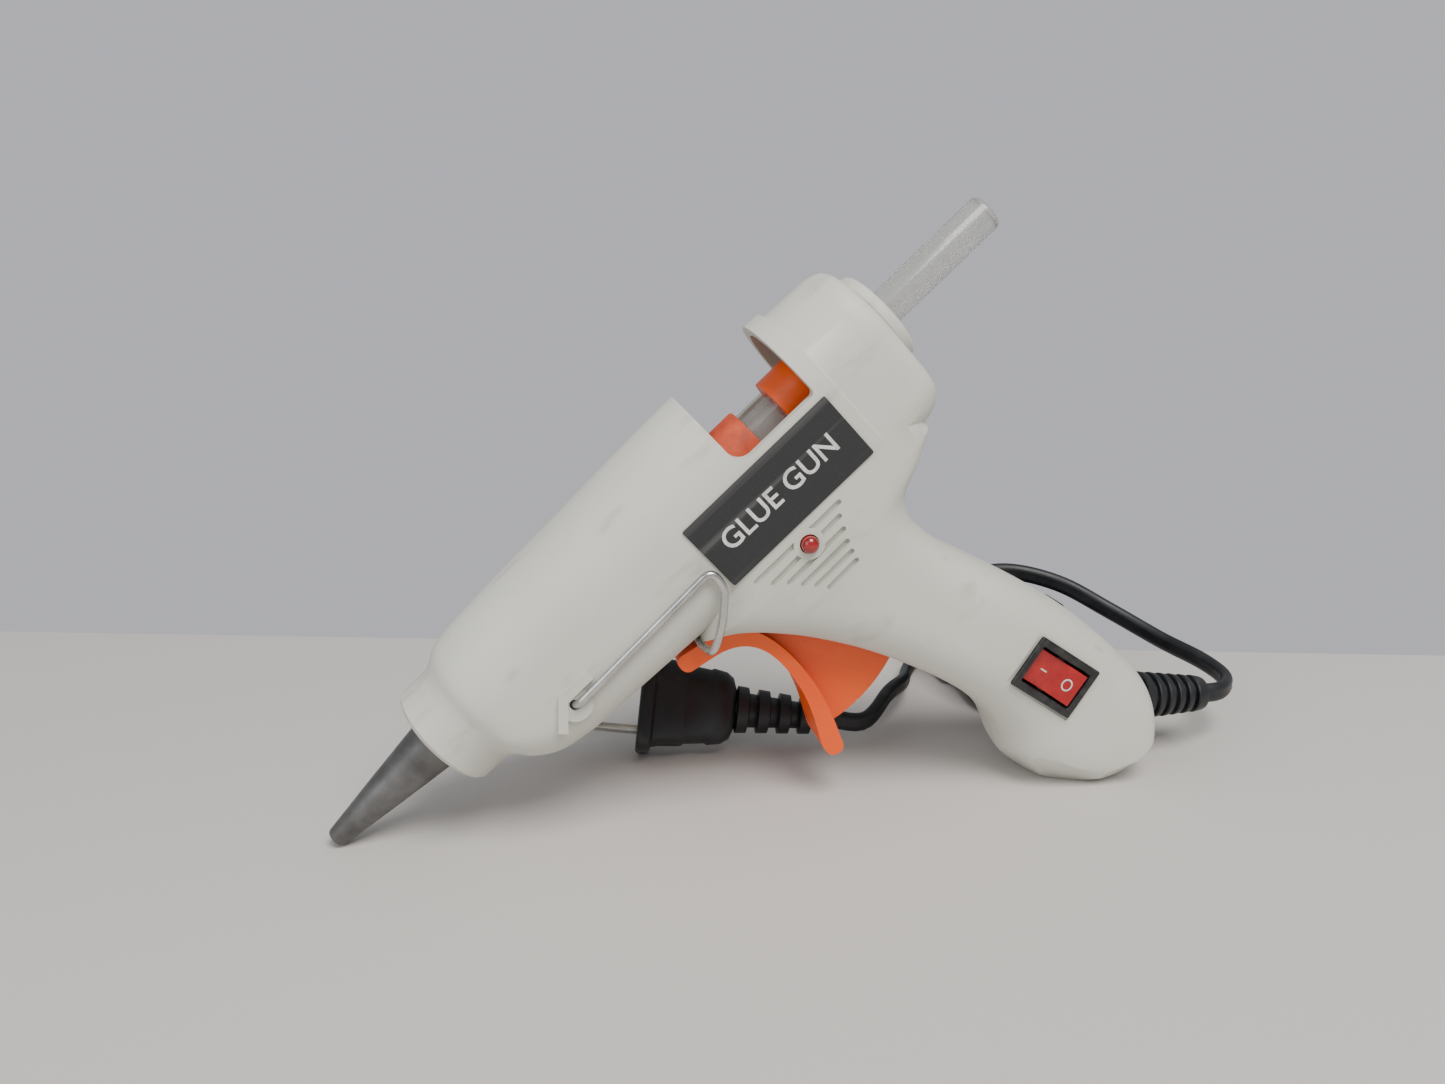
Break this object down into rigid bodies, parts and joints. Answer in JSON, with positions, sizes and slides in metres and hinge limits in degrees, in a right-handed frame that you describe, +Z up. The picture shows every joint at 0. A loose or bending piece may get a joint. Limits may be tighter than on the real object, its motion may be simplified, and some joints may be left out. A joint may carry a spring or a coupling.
{
  "type": "hot melt glue gun",
  "caption": "Hand-held hot-melt glue gun for 7 mm sticks: split casing, metal nozzle, sliding stick feed worked by a trigger, rocker switch, wire stand, mains lead and plug",
  "frame": {"origin": "on the table, below the middle of the gun without its lead", "axes": "+Z up, nose towards -X, switch side towards -Y, parting plane of the casing at Y = 0"},
  "size_m": [0.193, 0.085, 0.114],
  "materials": {
    "casing": "moulded, off-white, slight sheen",
    "nozzle": "turned, heat-darkened",
    "ceramic": "unglazed",
    "alloy": "die cast",
    "steel": "bright",
    "silicone": "matt silicone",
    "orange": "moulded, glossy",
    "stick": "translucent, waxy",
    "wire": "plated wire",
    "lamp": "clear red",
    "black": "moulded, black",
    "red": "moulded, red",
    "label": "fine grained plate",
    "red_wire": "insulation",
    "cord": "black PVC",
    "blade": "nickel-plated brass"
  },
  "bodies": {
    "gun": {"left_shell": "casing", "right_shell": "casing", "nozzle": "nozzle", "nozzle_ring": "ceramic", "melt_chamber": "alloy", "heater": "ceramic", "heater_clip": "steel", "inlet_sleeve": "silicone", "rear_bush": "casing", "trigger_pin": "steel", "return_spring": "steel", "lamp": "lamp", "switch_housing": "black", "rocker_pin": "black", "label": "label", "screw_1": "steel", "screw_2": "steel", "screw_3": "steel", "screw_4": "steel", "screw_5": "steel", "wire_live_in": "red_wire", "wire_live_out": "red_wire", "wire_neutral": "cord", "wire_lamp": "red_wire", "strain_relief": "cord", "lead_out": "cord", "lead_hank": "cord", "hank_tie": "cord", "lead_back": "cord", "plug_body": "black", "plug_blade_a": "blade", "plug_blade_b": "blade"},
    "trigger": {"trigger": "orange"},
    "link": {"link_bar": "steel"},
    "feeder": {"feeder_ring": "orange", "glue_stick": "stick"},
    "rocker": {"rocker": "red"},
    "wire_stand": {"wire_stand": "wire"}
  },
  "joints": [
    {"name": "trigger_pull", "type": "hinge", "parent": "gun", "child": "trigger", "pos_m": [-0.0083, 0.00001, 0.04239], "axis": [0, -1, 0], "range_deg": [0, 20], "stiffness_Nm_per_rad": 0.04, "springref_deg": -20.05},
    {"name": "feed", "type": "slide", "parent": "gun", "child": "feeder", "axis": [-0.7478, 0, -0.6639], "range_m": [0, 0.00419]},
    {"name": "link_swing", "type": "hinge", "parent": "trigger", "child": "link", "pos_m": [-0.01458, 0.00001, 0.05262], "axis": [0, -1, 0], "range_deg": [-20, 0]},
    {"name": "rocker_tip", "type": "hinge", "parent": "gun", "child": "rocker", "pos_m": [0.04793, -0.01129, 0.02531], "axis": [0.5707, 0, 0.8211], "range_deg": [0, 18]},
    {"name": "stand_swing", "type": "hinge", "parent": "gun", "child": "wire_stand", "pos_m": [-0.0435, 0.00001, 0.02933], "axis": [0, 1, 0], "range_deg": [0, 130]}
  ],
  "couplings": [
    {"joint": "trigger_pull", "follows": "feed", "rad_per_m": 83.333},
    {"joint": "link_swing", "follows": "feed", "rad_per_m": -83.333}
  ]
}
